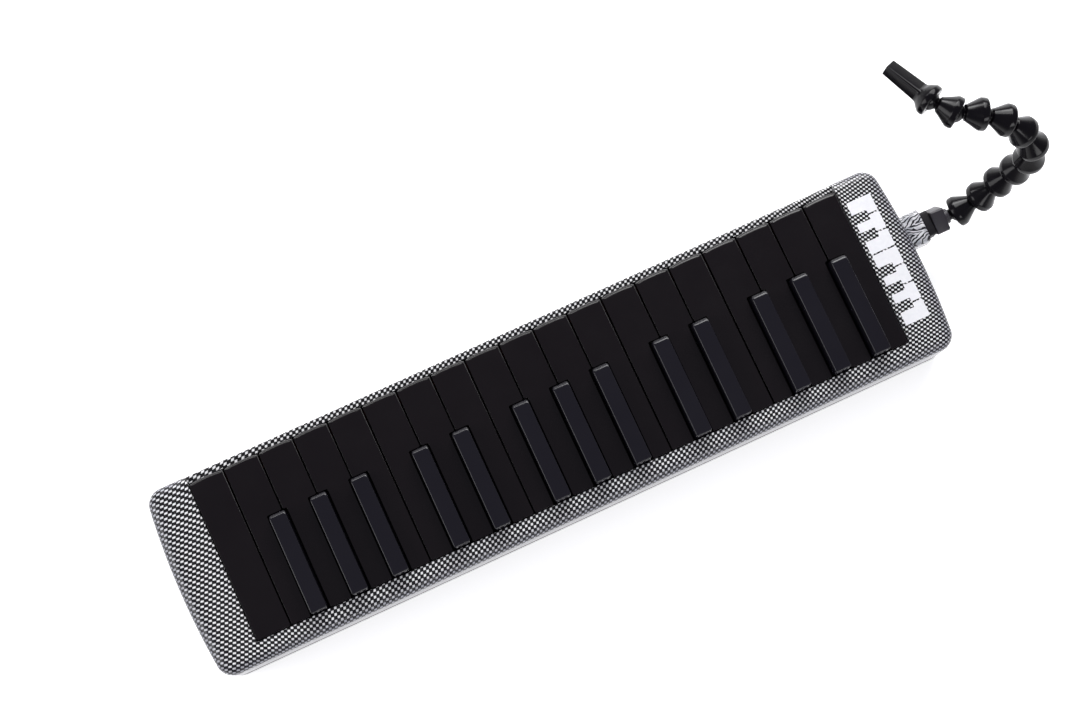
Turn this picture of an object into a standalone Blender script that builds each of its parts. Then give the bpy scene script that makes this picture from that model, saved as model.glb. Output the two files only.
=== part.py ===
"""Melodica with 32 keys and a ball-and-socket blowing hose.

Frame: origin at the bottom centre of the case, +Z up, +X towards the treble end,
-Y towards the player (front edges of the keys). Dimensions below are millimetres.
"""
import math

import bpy
from mathutils import Matrix, Vector

MM = 0.001

# ---- case -------------------------------------------------------------------
CASE_L = 427.0            # overall length at the middle of the ends
CASE_W = 105.4            # overall depth
CASE_H = 45.0             # height of the end blocks
END_BULGE = 3.3           # how far the ends bow out over the corners
PLAN_R = 8.0              # corner radius in plan
TOP_R = 5.0               # rounding between top and walls
WALL = 2.2
SPLIT_Z = 13.0            # joint between the two case shells
FRONT_LIP_Z = 40.0        # lowered front rim along the keys
GAP = 0.3                 # play between pieces that touch

# ---- keyboard ---------------------------------------------------------------
PITCH = 19.7              # natural key pitch
N_NAT = 19
KEY_GAP = 0.9
OPEN_X = N_NAT * PITCH / 2
FRONT_Y = -48.1           # front edges of the naturals
BACK_Y = 41.3             # back ends of the key tops
OPEN_FRONT_Y = -48.7
OPEN_BACK_Y = 41.8
KEY_TOP_Z = 46.0
KEY_PLATE = 3.4
APRON_Z = 38.6
FRONT_CHAMFER = 0.6       # along the front top edge of each natural
ACC_FRONT_Y = -14.4       # front tips of the accidentals
ACC_TOP_Z = 54.5
ACC_W_BASE = 9.5
ACC_W_TOP = 8.9
ACC_CLEAR = 0.9           # between an accidental and the naturals beside it
ROD_Y, ROD_Z, ROD_R = 30.0, 34.0, 1.1
HUB_R, HUB_HOLE_R, RIB_HALF = 3.3, 1.4, 2.0
TAIL_Y = 47.4
PAD_HALF = 3.6

# ---- inside -----------------------------------------------------------------
DECK_Z0, DECK_Z1 = 28.0, 30.0
TROUGH_Z0 = 8.0
TROUGH_TOP = 25.2

# ---- spout and hose ---------------------------------------------------------
SPOUT_Y, SPOUT_Z = -13.9, 22.0
SPOUT_W, SPOUT_H = 18.7, 16.0
SPOUT_X = -226.4          # outer end of the spout
PLUG_W, PLUG_H = 14.0, 11.4
PLUG_X = -231.2
BLOCK_X0, BLOCK_X1 = -231.6, -239.3
BLOCK = 13.0
BLOCK_TURN = -18.8
NECK_RING_X = (-238.0, -241.9)
NECK_RING_R = 4.2
HOSE_X = -248.5           # centre of the first ball
LINK_PITCH = 14.3
BALL_R, SOCKET_R = 5.6, 6.0
RIM_R, NECK_R, BORE_R = 8.6, 3.0, 2.3
RIM_BACK = 2.5            # the skirt reaches this far behind the ball centre
SEG = 12
# direction of each hose link as stored: elevation and heading in degrees
LINK_ELEV = (27, 50, 58, 70, 76, 54, 39, 17, 8, 1, -4)
LINK_HEAD = (186, 191, 185, 186, 262, 305, 316, 327, 333, 308, 294)
TIP_REACH = 26.5          # from the last ball centre to the mouthpiece end
TIP_ROLL = 32.0

# ---- drain valve ------------------------------------------------------------
DRAIN_X, DRAIN_Y = 150.0, 26.0

SCREWS = ((203.0, 40.0), (203.0, -40.0), (-203.0, 40.0), (-203.0, -40.0))

NATURALS = ("F3 G3 A3 B3 C4 D4 E4 F4 G4 A4 B4 C5 D5 E5 F5 G5 A5 B5 C6").split()
# sideways set of each accidental from the joint between its naturals
ACC_SET = {"F": -3.4, "G": -0.15, "A": 3.2, "C": -1.9, "D": 1.4}
# sideways place of each natural's tail from its own low edge, so that the
# twelve tails of an octave are evenly spread
TAIL_SET = {"C": 5.9, "D": 9.85, "E": 13.8, "F": 5.6, "G": 8.4, "A": 11.3, "B": 14.1}


# ---- helpers ----------------------------------------------------------------
def clear():
    for obj in list(bpy.data.objects):
        bpy.data.objects.remove(obj)


def material(name, colour, rough, metal=0.0):
    mat = bpy.data.materials.get(name) or bpy.data.materials.new(name)
    mat.use_nodes = True
    shader = mat.node_tree.nodes["Principled BSDF"]
    shader.inputs["Base Color"].default_value = (*colour, 1)
    shader.inputs["Roughness"].default_value = rough
    shader.inputs["Metallic"].default_value = metal
    mat.diffuse_color = (*colour, 1)
    return mat


def make(name, points, faces, mat, origin=(0, 0, 0)):
    """An object from points in mm, with its origin at the given point."""
    origin = Vector(origin)
    mesh = bpy.data.meshes.new(name)
    mesh.from_pydata([(Vector(p) - origin) * MM for p in points], [], faces)
    mesh.materials.append(mat)
    mesh.update()
    obj = bpy.data.objects.new(name, mesh)
    obj.location = origin * MM
    bpy.context.scene.collection.objects.link(obj)
    return obj


def apply_all(obj):
    """Bakes the object's modifiers into its mesh."""
    bpy.context.view_layer.update()
    graph = bpy.context.evaluated_depsgraph_get()
    mesh = bpy.data.meshes.new_from_object(obj.evaluated_get(graph))
    obj.modifiers.clear()
    old = obj.data
    obj.data = mesh
    bpy.data.meshes.remove(old)
    mesh.name = obj.name


def combine(obj, other, operation):
    """Cuts, joins or intersects obj with other, then removes other."""
    mod = obj.modifiers.new(operation.lower(), "BOOLEAN")
    mod.operation = operation
    mod.solver = "EXACT"
    mod.object = other
    apply_all(obj)
    bpy.data.objects.remove(other)


def cut(obj, other):
    combine(obj, other, "DIFFERENCE")


def join(obj, other):
    combine(obj, other, "UNION")


def prism(name, outline, lo, hi, mat, axis="Z", origin=(0, 0, 0)):
    """A closed outline (counter-clockwise about the axis) pulled from lo to hi."""
    place = {
        "Z": lambda a, b, h: (a, b, h),
        "X": lambda a, b, h: (h, a, b),
    }[axis]
    n = len(outline)
    points = [place(a, b, lo) for a, b in outline] + [place(a, b, hi) for a, b in outline]
    faces = [tuple(range(n))[::-1], tuple(range(n, 2 * n))]
    faces += [(i, (i + 1) % n, n + (i + 1) % n, n + i) for i in range(n)]
    return make(name, points, faces, mat, origin)


def box(name, x0, x1, y0, y1, z0, z1, mat, origin=(0, 0, 0)):
    return prism(name, [(x0, y0), (x1, y0), (x1, y1), (x0, y1)], z0, z1, mat, "Z", origin)


def rod_x(name, y, z, r, x0, x1, mat, sides=SEG):
    ring = [(y + r * math.cos(2 * math.pi * (k + 0.5) / sides), z + r * math.sin(2 * math.pi * (k + 0.5) / sides)) for k in range(sides)]
    return prism(name, ring, x0, x1, mat, "X")


def rod_z(name, x, y, r, z0, z1, mat, sides=SEG):
    ring = [(x + r * math.cos(2 * math.pi * k / sides), y + r * math.sin(2 * math.pi * k / sides)) for k in range(sides)]
    return prism(name, ring, z0, z1, mat, "Z")


def loft(name, rings, mat, close=False, origin=(0, 0, 0)):
    """Skins a list of equal rings. close joins the last ring to the first."""
    n = len(rings[0])
    points = [p for ring in rings for p in ring]
    faces = []
    count = len(rings)
    for a in range(count if close else count - 1):
        b = (a + 1) % count
        faces += [(a * n + i, a * n + (i + 1) % n, b * n + (i + 1) % n, b * n + i) for i in range(n)]
    if not close:
        faces += [tuple(range(n))[::-1], tuple(range((count - 1) * n, count * n))]
    return make(name, points, faces, mat, origin)


def plate(name, cells, low, high, mat):
    """A sheet made of four-sided cells in plan, given thickness: low and high
    give the two surfaces' heights at a plan point."""
    index, order = {}, []
    for cell in cells:
        for p in cell:
            if p not in index:
                index[p] = len(order)
                order.append(p)
    n = len(order)
    points = [(x, y, low(x, y)) for x, y in order] + [(x, y, high(x, y)) for x, y in order]
    faces, edges = [], {}
    for cell in cells:
        ids = [index[p] for p in cell]
        faces.append(tuple(ids[::-1]))
        faces.append(tuple(n + i for i in ids))
        for a, b in zip(ids, ids[1:] + ids[:1]):
            edges[(a, b)] = True
    for a, b in edges:
        if (b, a) not in edges:
            faces.append((a, b, n + b, n + a))
    return make(name, points, faces, mat)


def smooth(obj, angle=35):
    obj.data.shade_smooth()
    obj.data.set_sharp_from_angle(angle=math.radians(angle))


def case_outline(inset, steps=4):
    """Plan of the case, moved in by inset: straight long sides, bowed ends and
    rounded corners, counter-clockwise."""
    half_l, half_w = CASE_L / 2 - END_BULGE, CASE_W / 2
    r = PLAN_R - inset
    cx, cy = half_l - PLAN_R, half_w - PLAN_R
    ring = []
    for sx, sy, start in ((1, 1, 0), (-1, 1, 90), (-1, -1, 180), (1, -1, 270)):
        for k in range(steps + 1):
            a = math.radians(start + 90 * k / steps)
            x, y = sx * cx + r * math.cos(a), sy * cy + r * math.sin(a)
            x += sx * END_BULGE * (1 - (y / half_w) ** 2)
            ring.append((x, y))
        if sx == sy:
            continue
        # the bowed end between this corner and the next
        side = -1 if sx < 0 else 1
        span = cy
        for t in (0.5, 0.0, -0.5):
            y = span * t * (1 if side < 0 else -1)
            ring.append((side * (half_l - inset + END_BULGE * (1 - (y / half_w) ** 2)), y))
    return ring


def ring_at(inset, z):
    return [(x, y, z) for x, y in case_outline(inset)]


# ---- case shells ------------------------------------------------------------
def top_cover(mat):
    rings = [ring_at(0.5, SPLIT_Z), ring_at(0.0, CASE_H - TOP_R)]
    for a in (30, 60, 90):
        a = math.radians(a)
        rings.append(ring_at(TOP_R * (1 - math.cos(a)), CASE_H - TOP_R + TOP_R * math.sin(a)))
    cover = loft("top_cover", rings, mat)
    tool = material("tool", (0.5, 0.5, 0.5), 0.5)
    spout = rounded_box_x(SPOUT_X, -207.5, SPOUT_Y, SPOUT_Z, SPOUT_W, SPOUT_H, 3.2, mat)
    inner = loft("inner", [ring_at(WALL + 0.5, SPLIT_Z - 4), ring_at(WALL, FRONT_LIP_Z - WALL)], tool)
    cut(cover, inner)
    upper = loft("upper", [ring_at(WALL, FRONT_LIP_Z - WALL - 1), ring_at(WALL, CASE_H - WALL)], tool)
    cut(upper, box("front", -250, 250, -60, OPEN_FRONT_Y, 0, 60, tool))
    cut(cover, upper)
    cut(cover, box("opening", -OPEN_X - 0.2, OPEN_X + 0.2, OPEN_FRONT_Y, OPEN_BACK_Y, 30, 60, tool))
    cut(cover, box("front_lip", -OPEN_X - 0.2, OPEN_X + 0.2, -70, -40, FRONT_LIP_Z, 60, tool))
    for x, y in SCREWS:
        join(cover, rod_z("post", x, y, 3.6, SPLIT_Z + 0.3, CASE_H - WALL + 0.8, mat, 10))
        cut(cover, rod_z("hole", x, y, 1.8, SPLIT_Z - 2, SPLIT_Z + 12, tool, 10))
    join(cover, spout)
    cut(cover, box("bore", SPOUT_X - 5, -200, SPOUT_Y - PLUG_W / 2 - GAP, SPOUT_Y + PLUG_W / 2 + GAP,
                   SPOUT_Z - PLUG_H / 2 - GAP, SPOUT_Z + PLUG_H / 2 + GAP, tool))
    return cover


def rounded_box_x(x0, x1, y, z, w, h, r, mat, name="rounded", turn=0.0, steps=2):
    ring = []
    for sy, sz, start in ((1, 1, 0), (-1, 1, 90), (-1, -1, 180), (1, -1, 270)):
        for k in range(steps + 1):
            a = math.radians(start + 90 * k / steps)
            ring.append((sy * (w / 2 - r) + r * math.cos(a), sz * (h / 2 - r) + r * math.sin(a)))
    c, s = math.cos(math.radians(turn)), math.sin(math.radians(turn))
    ring = [(y + c * a - s * b, z + s * a + c * b) for a, b in ring]
    return prism(name, ring, x0, x1, mat, "X")


def bottom_cover(mat):
    top = SPLIT_Z - GAP
    rings = [ring_at(3.9, 0.0), ring_at(1.9, 0.75), ring_at(0.9, 3.0), ring_at(0.5, top)]
    cover = loft("bottom_cover", rings, mat)
    tool = material("tool", (0.5, 0.5, 0.5), 0.5)
    cut(cover, loft("inner", [ring_at(4.2, WALL), ring_at(WALL + 0.6, 4.6), ring_at(WALL + 0.5, top + 5)], tool))
    for x, y in SCREWS:
        join(cover, rod_z("boss", x, y, 5.0, WALL - 0.8, top, mat, SEG))
        cut(cover, rod_z("head", x, y, 3.4, -5, 6.0, tool))
        cut(cover, rod_z("hole", x, y, 1.8, 4, top + 5, tool, 10))
    cut(cover, rod_z("drain", DRAIN_X, DRAIN_Y, 5.2, -5, 10, tool))
    return cover


# ---- inside of the case -----------------------------------------------------
def tail_places():
    """(x of the tail, half width of its pallet) for every key, bass to treble."""
    places = []
    for k, note in enumerate(NATURALS):
        x0 = -OPEN_X + k * PITCH
        last = k == N_NAT - 1
        places.append(x0 + (PITCH / 2 if last else TAIL_SET[note[0]]))
        if not last and note[0] in ACC_SET:
            places.append(x0 + PITCH + ACC_SET[note[0]])
    return places


def key_frame(mat):
    """Deck of the wind chest: a pallet hole for each key, the rod's posts."""
    rows = [-49.6, 39.0, 46.0, 49.6]
    columns = [-187.6]
    holes = set()
    for x in tail_places():
        holes.add(len(columns))
        columns += [x - 2.4, x + 2.4]
    columns.append(187.6)
    cells = []
    for r in range(3):
        for c in range(len(columns) - 1):
            if r == 1 and c in holes:
                continue
            cells.append(((columns[c], rows[r]), (columns[c + 1], rows[r]), (columns[c + 1], rows[r + 1]), (columns[c], rows[r + 1])))
    frame = plate("key_frame", cells, lambda x, y: DECK_Z0, lambda x, y: DECK_Z1, mat)
    tool = material("tool", (0.5, 0.5, 0.5), 0.5)
    posts = [-189.6, 189.6] + [-OPEN_X + k * PITCH for k in (4, 7, 11, 14)]
    for x in posts:
        side = 1 if x < 0 else -1
        x0, x1 = (x - 1.2, x + 1.2)
        if abs(x) > OPEN_X:
            join(frame, prism("post", [(26, DECK_Z0 + 0.4), (34, DECK_Z0 + 0.4), (34, 35.5), (32.5, 37.2), (27.5, 37.2), (26, 35.5)], x0, x1, mat, "X"))
            join(frame, box("foot", min(x0, x + side * 4), max(x1, x + side * 4), 26.3, 33.7, DECK_Z0 + 0.3, DECK_Z1 - 0.3, mat))
        else:
            join(frame, prism("post", [(27, DECK_Z1 - 0.6), (33, DECK_Z1 - 0.6), (33, 35.2), (32, 36.4), (28, 36.4), (27, 35.2)], x0, x1, mat, "X"))
        cut(frame, rod_x("hole", ROD_Y, ROD_Z, HUB_HOLE_R, x - 3, x + 3, tool, 8))
    return frame


def key_rod(mat):
    rod = rod_x("key_rod", ROD_Y, ROD_Z, ROD_R, -192.0, 192.0, mat, 8)
    smooth(rod)
    return rod


def key_spring_comb(mat):
    """One leaf for each key, rising from a strip on the deck."""
    y0, y1, y2 = 8.0, 15.0, 23.0
    columns, fingers = [-186.0], set()
    for x in tail_places():
        fingers.add(len(columns))
        columns += [x - 1.5, x + 1.5]
    columns.append(186.0)
    cells = []
    for c in range(len(columns) - 1):
        a, b = columns[c], columns[c + 1]
        cells.append(((a, y0), (b, y0), (b, y1), (a, y1)))
        if c in fingers:
            cells.append(((a, y1), (b, y1), (b, y2), (a, y2)))
    base = DECK_Z1 + GAP

    def low(x, y):
        return base + (4.2 if y > y1 + 1 else 0.0)

    return plate("key_spring_comb", cells, low, lambda x, y: low(x, y) + 0.6, mat)


def key_felt(mat):
    return box("key_felt", -186.0, 186.0, -47.4, -41.4, DECK_Z1 + GAP, DECK_Z1 + 1.3, mat)


def reed_plate(mat):
    """Brass plate; a slit runs round three sides of each reed's tongue."""
    z0, z1 = 25.5, 26.5
    places = tail_places()
    columns = [(-184.0, 22.0)]
    for k, x in enumerate(places):
        length = 17.5 - 8.0 * k / (len(places) - 1)
        for dx in (-1.9, -1.55, 1.55, 1.9):
            columns.append((x + dx, length))
    columns.append((184.0, 10.0))
    root, front, back = 40.0, 8.0, 46.0

    def row_y(length, r):
        return (front, root - length - 0.4, root - length, root, back)[r]

    cells = []
    count = len(columns)
    for c in range(count - 1):
        reed = (c - 1) % 4
        for r in range(4):
            if c >= 1 and c < count - 1:
                if reed in (0, 2) and r in (1, 2):
                    continue
                if reed == 1 and r == 1:
                    continue
            a, b = columns[c], columns[c + 1]
            cells.append(((a[0], row_y(a[1], r)), (b[0], row_y(b[1], r)), (b[0], row_y(b[1], r + 1)), (a[0], row_y(a[1], r + 1))))
    return plate("reed_plate", cells, lambda x, y: z0, lambda x, y: z1, mat)


def chamber_gasket(mat):
    xs, ys = (-184.0, -181.5, 181.5, 184.0), (6.0, 8.5, 46.8, 48.0)
    cells = [((xs[i], ys[j]), (xs[i + 1], ys[j]), (xs[i + 1], ys[j + 1]), (xs[i], ys[j + 1]))
             for i in range(3) for j in range(3) if (i, j) != (1, 1)]
    return plate("chamber_gasket", cells, lambda x, y: 26.8, lambda x, y: 27.7, mat)


def chamber_cover(mat):
    """Trough under the reeds, with the duct that leads to the spout."""
    tool = material("tool", (0.5, 0.5, 0.5), 0.5)
    cover = box("chamber_cover", -186.0, 186.0, 4.0, 48.0, TROUGH_Z0, TROUGH_TOP, mat)
    join(cover, box("duct", -206.6, -180.0, -25.0, 31.0, TROUGH_Z0, TROUGH_TOP + 2.3, mat))
    cut(cover, box("top", -186.5, -170.0, -30.0, 50.0, TROUGH_TOP, 40, tool))
    cut(cover, box("hollow", -183.5, 183.8, 6.2, 45.8, TROUGH_Z0 + 2, 40, tool))
    cut(cover, box("duct_hollow", -204.4, -188.2, -22.8, 28.8, TROUGH_Z0 + 2, TROUGH_TOP - 0.2, tool))
    cut(cover, box("passage", -195.0, -180.0, 8.2, 26.8, TROUGH_Z0 + 2.5, TROUGH_TOP - 3, tool))
    cut(cover, rod_x("inlet", SPOUT_Y, SPOUT_Z - 1.0, 3.4, -220, -200, tool))
    cut(cover, rod_z("drain", DRAIN_X, DRAIN_Y, 1.9, 0, 12, tool, 10))
    return cover


# ---- keys -------------------------------------------------------------------
def rib_outline(front_y, plate_z):
    """Side view of the rib under a key: hub round the rod, tail over the pad."""
    hub = []
    for k in range(5):
        a = math.radians(225 + 90 * k / 4 - 20)
        hub.append((ROD_Y + HUB_R * math.cos(a), ROD_Z + HUB_R * math.sin(a)))
    return [(front_y, plate_z), (front_y + 8, 38.2), (ROD_Y - 4.0, 37.2)] + hub + [
        (37.6, 32.2), (TAIL_Y, 32.2), (TAIL_Y, 36.6), (BACK_Y - 0.6, 37.4), (BACK_Y - 0.6, plate_z)]


def finish_key(key, tail_x, plate_z, mat):
    rib = prism("rib", rib_outline(4.0, plate_z), tail_x - RIB_HALF, tail_x + RIB_HALF, mat, "X")
    tool = material("tool", (0.5, 0.5, 0.5), 0.5)
    cut(rib, rod_x("hole", ROD_Y, ROD_Z, HUB_HOLE_R, tail_x - 10, tail_x + 10, tool, 8))
    join(rib, box("pad", tail_x - PAD_HALF, tail_x + PAD_HALF, 38.0, 47.2, DECK_Z1 + GAP, 32.8, mat))
    join(key, rib)


def natural_key(k, mat):
    note = NATURALS[k]
    x0, x1 = -OPEN_X + k * PITCH, -OPEN_X + (k + 1) * PITCH
    a, b = x0 + KEY_GAP / 2, x1 - KEY_GAP / 2
    half = ACC_W_BASE / 2 + ACC_CLEAR
    step_y = ACC_FRONT_Y - ACC_CLEAR
    low_acc = NATURALS[k - 1][0] in ACC_SET if k > 0 else False
    high_acc = note[0] in ACC_SET and k < N_NAT - 1
    outline = [(a, FRONT_Y + 0.5), (a + 4, FRONT_Y), (b - 4, FRONT_Y), (b, FRONT_Y + 0.5)]
    if high_acc:
        edge = x1 + ACC_SET[note[0]] - half
        outline += [(b, step_y), (edge, step_y), (edge, BACK_Y)]
    else:
        outline += [(b, BACK_Y)]
    if low_acc:
        edge = x0 + ACC_SET[NATURALS[k - 1][0]] + half
        outline += [(edge, BACK_Y), (edge, step_y), (a, step_y)]
    else:
        outline += [(a, BACK_Y)]
    name = "key_" + note
    plate_z = KEY_TOP_Z - KEY_PLATE
    key = prism(name, outline, plate_z, KEY_TOP_Z, mat, "Z", (0, ROD_Y, ROD_Z))
    edge = [(FRONT_Y - 0.5, KEY_TOP_Z - FRONT_CHAMFER - 0.5), (FRONT_Y + FRONT_CHAMFER + 0.5, KEY_TOP_Z + 0.5), (FRONT_Y - 0.5, KEY_TOP_Z + 0.5)]
    cut(key, prism("edge", edge, a - 1, b + 1, material("tool", (0.5, 0.5, 0.5), 0.5), "X"))
    join(key, box("apron", a + 0.4, b - 0.4, FRONT_Y + 0.6, FRONT_Y + 3.0, APRON_Z, plate_z + 0.8, mat))
    tail = x0 + (PITCH / 2 if k == N_NAT - 1 else TAIL_SET[note[0]])
    finish_key(key, tail, plate_z + 0.8, mat)
    return key


def accidental_key(k, mat):
    note = NATURALS[k]
    c = -OPEN_X + (k + 1) * PITCH + ACC_SET[note[0]]
    name = "key_" + note[0] + "s" + note[1]
    w0, w1 = ACC_W_BASE / 2, ACC_W_TOP / 2
    side = [(ACC_FRONT_Y, 42.0, w0), (ACC_FRONT_Y + 0.2, 50.4, w0 - 0.2), (ACC_FRONT_Y + 1.0, 53.4, w1), (ACC_FRONT_Y + 2.8, ACC_TOP_Z, w1 - 0.4),
            (BACK_Y - 0.4, ACC_TOP_Z, w1 - 0.4), (BACK_Y, 53.4, w1), (BACK_Y, 42.0, w0)]
    points = [(c - w, y, z) for y, z, w in side] + [(c + w, y, z) for y, z, w in side]
    n = len(side)
    # each side bends at the shoulder line, so it is made of planar strips
    faces = [(0, 1, 5, 6), (1, 2, 5), (2, 3, 4, 5)]
    faces = [tuple(f)[::-1] for f in faces] + [tuple(n + i for i in f) for f in faces]
    faces += [(i, (i + 1) % n, n + (i + 1) % n, n + i) for i in range(n)]
    key = make(name, points, faces, mat, (0, ROD_Y, ROD_Z))
    finish_key(key, c, 43.0, mat)
    return key


# ---- hose -------------------------------------------------------------------
def link_dirs():
    out = []
    for e, h in zip(LINK_ELEV, LINK_HEAD):
        e, h = math.radians(e), math.radians(h)
        out.append(Vector((math.cos(e) * math.cos(h), math.cos(e) * math.sin(h), math.sin(e))))
    return out


def link_joints():
    points = [Vector((HOSE_X, SPOUT_Y, SPOUT_Z))]
    for d in link_dirs()[:-1]:
        points.append(points[-1] + d * LINK_PITCH)
    return points


def axis_frame(direction):
    """Sideways, up and forward directions of a piece lying along direction."""
    side = Vector((0, 0, 1)).cross(direction).normalized()
    return side, direction.cross(side).normalized()


def turned(name, profile, joint, direction, mat, closed=True, seg=SEG):
    """Turns (along, radius) pairs about a line through joint."""
    side, up = axis_frame(direction)
    rings = []
    for t, r in profile:
        rings.append([joint + direction * t + side * (r * math.cos(2 * math.pi * k / seg)) + up * (r * math.sin(2 * math.pi * k / seg)) for k in range(seg)])
    obj = loft(name, rings, mat, close=closed, origin=joint)
    smooth(obj, 40)
    return obj


def socket_profile():
    """Inside of a socket, from its bore to its mouth."""
    out = [(math.sqrt(SOCKET_R ** 2 - BORE_R ** 2), BORE_R)]
    for a in (58, 90):
        a = math.radians(a)
        out.append((SOCKET_R * math.cos(a), SOCKET_R * math.sin(a)))
    out.append((-RIM_BACK, math.sqrt(SOCKET_R ** 2 - RIM_BACK ** 2)))
    return out


def ball_profile(centre):
    """Outside of a ball, from its neck to its bore."""
    return [(centre - math.sqrt(BALL_R ** 2 - NECK_R ** 2), NECK_R)] + [
        (centre + BALL_R * math.cos(math.radians(a)), BALL_R * math.sin(math.radians(a))) for a in (115, 85, 55)
    ] + [(centre + math.sqrt(BALL_R ** 2 - BORE_R ** 2), BORE_R)]


def hose_link(name, joint, direction, mat):
    skirt = [(-RIM_BACK, RIM_R - 0.5), (-RIM_BACK + 0.7, RIM_R), (0.9, RIM_R), (8.4, 3.9), (9.0, NECK_R)]
    return turned(name, skirt + ball_profile(LINK_PITCH) + socket_profile(), joint, direction, mat)


def mouthpiece_tip(joint, direction, mat):
    side, up = axis_frame(direction)
    c, s = math.cos(math.radians(TIP_ROLL)), math.sin(math.radians(TIP_ROLL))
    side, up = side * c + up * s, up * c - side * s

    def round_ring(t, r):
        return [joint + direction * t + side * (r * math.cos(2 * math.pi * k / SEG)) + up * (r * math.sin(2 * math.pi * k / SEG)) for k in range(SEG)]

    def flat_ring(t, w, h, r):
        out = []
        for k in range(SEG):
            quarter, step = divmod(k + 1, 3)
            sx, sy = ((1, 1), (-1, 1), (-1, -1), (1, -1))[quarter % 4]
            a = math.radians(90 * quarter + 45 * step)
            out.append(joint + direction * t + side * (sx * (w / 2 - r) + r * math.cos(a)) + up * (sy * (h / 2 - r) + r * math.sin(a)))
        return [out[-1]] + out[:-1]

    rings = [round_ring(-RIM_BACK, RIM_R - 0.5), round_ring(-RIM_BACK + 0.7, RIM_R), round_ring(0.5, RIM_R), round_ring(3.4, 6.9),
             flat_ring(6.1, 9.4, 7.8, 1.8), flat_ring(TIP_REACH, 7.7, 5.9, 0.9), flat_ring(TIP_REACH, 4.9, 3.2, 0.6), flat_ring(9.5, 4.9, 3.8, 0.6)]
    rings += [round_ring(t, r) for t, r in socket_profile()]
    obj = loft("mouthpiece_tip", rings, mat, close=True, origin=joint)
    smooth(obj, 40)
    return obj


def hose_adapter(mat):
    plug = rounded_box_x(PLUG_X, -212.6, SPOUT_Y, SPOUT_Z, PLUG_W, PLUG_H, 1.5, mat, "hose_adapter", 0, 1)
    tool = material("tool", (0.5, 0.5, 0.5), 0.5)
    cut(plug, rod_x("bore", SPOUT_Y, SPOUT_Z, 3.9, -250, -200, tool))
    return plug


def hose_connector(mat):
    """Square block with a spigot in the adapter and the first ball."""
    block = rounded_box_x(BLOCK_X1, BLOCK_X0, SPOUT_Y, SPOUT_Z, BLOCK, BLOCK, 1.2, mat, "hose_connector", BLOCK_TURN, 1)
    tool = material("tool", (0.5, 0.5, 0.5), 0.5)
    joint = Vector((HOSE_X, SPOUT_Y, SPOUT_Z))
    # distances run from the ball's centre towards the hose, so the neck's are negative
    ring0, ring1 = HOSE_X - NECK_RING_X[0], HOSE_X - NECK_RING_X[1]
    neck = [(ring0, BORE_R), (ring0, NECK_RING_R), (ring1, NECK_RING_R), (ring1, NECK_R)]
    head = turned("head", neck + ball_profile(0.0), joint, Vector((-1, 0, 0)), mat)
    join(block, rod_x("spigot", SPOUT_Y, SPOUT_Z, 3.5, -233.0, -222.0, mat))
    cut(block, rod_x("bore", SPOUT_Y, SPOUT_Z, BORE_R, -260, -210, tool))
    join(block, head)
    return block


# ---- drain and screws -------------------------------------------------------
def drain_button(mat):
    profile = [(0, 4.7), (0.9, 4.8), (2.2, 4.8), (2.2, 1.5), (9.3, 1.5), (9.3, 3.6), (10.6, 3.6), (11.0, 2.8)]
    rings = [[(DRAIN_X + r * math.cos(2 * math.pi * k / SEG), DRAIN_Y + r * math.sin(2 * math.pi * k / SEG), 1.0 + t) for k in range(SEG)] for t, r in profile]
    obj = loft("drain_button", rings, mat)
    smooth(obj)
    return obj


def drain_spring(mat):
    """Coil round the button's stem, between its head and the chamber."""
    turns, steps, sides, r, wire = 3, 10, 5, 2.7, 0.35
    z0, z1 = 3.9, 7.3
    rings = []
    for i in range(turns * steps + 1):
        a = 2 * math.pi * i / steps
        z = z0 + (z1 - z0) * i / (turns * steps)
        out = Vector((math.cos(a), math.sin(a), 0))
        centre = Vector((DRAIN_X, DRAIN_Y, z)) + out * r
        rings.append([centre + out * (wire * math.cos(2 * math.pi * k / sides)) + Vector((0, 0, wire * math.sin(2 * math.pi * k / sides))) for k in range(sides)])
    obj = loft("drain_spring", [ring[::-1] for ring in rings], mat)
    smooth(obj)
    return obj


def case_screw(index, x, y, mat):
    profile = [(0.0, 2.0), (0.5, 2.9), (2.0, 2.9), (2.0, 1.45), (16.0, 1.45), (17.5, 0.6)]
    rings = [[(x + r * math.cos(2 * math.pi * k / 10), y + r * math.sin(2 * math.pi * k / 10), 3.6 + t) for k in range(10)] for t, r in profile]
    obj = loft("case_screw_%d" % index, rings, mat)
    smooth(obj)
    return obj


def main():
    clear()
    check = material("case_check", (0.42, 0.42, 0.44), 0.3)
    black = material("case_black", (0.03, 0.03, 0.033), 0.45)
    satin = material("key_satin", (0.012, 0.011, 0.011), 0.42)
    gloss = material("key_gloss", (0.01, 0.01, 0.013), 0.12)
    hose = material("hose_black", (0.012, 0.012, 0.014), 0.22)
    plug = material("plug_rubber", (0.02, 0.018, 0.02), 0.5)
    steel = material("steel", (0.55, 0.56, 0.58), 0.3, 1.0)
    brass = material("brass", (0.72, 0.52, 0.22), 0.3, 1.0)
    felt = material("felt", (0.35, 0.04, 0.04), 0.95)
    rubber = material("rubber", (0.02, 0.02, 0.02), 0.8)

    top_cover(check)
    bottom_cover(black)
    key_frame(black)
    key_rod(steel)
    key_spring_comb(steel)
    key_felt(felt)
    reed_plate(brass)
    chamber_gasket(rubber)
    chamber_cover(black)
    for k in range(N_NAT):
        natural_key(k, satin)
        if k < N_NAT - 1 and NATURALS[k][0] in ACC_SET:
            accidental_key(k, gloss)
    hose_adapter(plug)
    hose_connector(hose)
    joints, dirs = link_joints(), link_dirs()
    for i in range(10):
        hose_link("hose_link_%02d" % (i + 1), joints[i], dirs[i], hose)
    mouthpiece_tip(joints[10], dirs[10], hose)
    drain_button(rubber)
    drain_spring(steel)
    for i, (x, y) in enumerate(SCREWS):
        case_screw(i + 1, x, y, steel)


main()
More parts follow.
